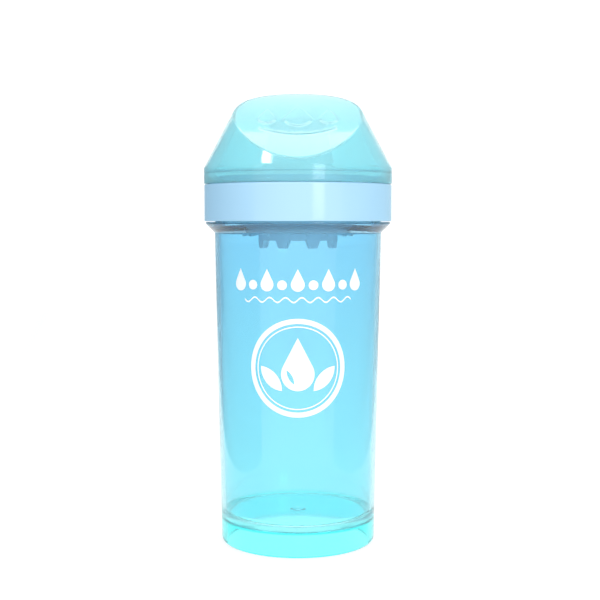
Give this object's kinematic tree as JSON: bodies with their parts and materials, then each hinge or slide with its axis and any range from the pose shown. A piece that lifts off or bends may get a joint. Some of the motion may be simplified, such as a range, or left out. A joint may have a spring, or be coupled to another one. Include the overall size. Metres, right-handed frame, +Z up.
{
  "type": "sippy cup",
  "caption": "Toddler's sippy cup: tapered translucent beaker with a mixer basket, a screw-on hard spout lid with silicone valves, and a slanted travel cap over the spout.",
  "frame": {"origin": "centre of the beaker's foot, on the surface it stands on", "axes": "+Z up along the beaker's axis, -Y the printed front, where the overcap's face is lowest, +X to the right seen from the front"},
  "size_m": [0.0782, 0.0782, 0.1889],
  "materials": {
    "cup": "clear blue moulded copolyester, polished inside and out",
    "mixer": "satin white moulded polypropylene with a faint lavender cast",
    "silicone": "milky moulded silicone",
    "spout": "white moulded polypropylene, satin deck and polished spout",
    "collar": "opaque pastel blue moulded polypropylene",
    "cap": "clear aqua moulded polypropylene, lightly frosted inside"
  },
  "bodies": {
    "cup": {"cup_body": "cup", "fruit_mixer": "mixer"},
    "seal": {"seal_ring": "silicone"},
    "lid": {"spout_insert": "spout", "screw_collar": "collar", "flow_valve": "silicone", "vent_valve": "silicone"},
    "cap": {"overcap": "cap"}
  },
  "joints": [
    {"name": "lid_rise", "type": "slide", "parent": "cup", "child": "seal", "axis": [0, 0, 1], "range_m": [0, 0.005]},
    {"name": "lid_turn", "type": "hinge", "parent": "seal", "child": "lid", "pos_m": [0, 0, 0.14], "axis": [0, 0, 1], "range_deg": [0, 450]},
    {"name": "cap_lift", "type": "slide", "parent": "lid", "child": "cap", "axis": [0, 0, 1], "range_m": [0, 0.04]}
  ],
  "couplings": [
    {"joint": "lid_rise", "follows": "lid_turn", "m_per_rad": 0.00063661}
  ]
}
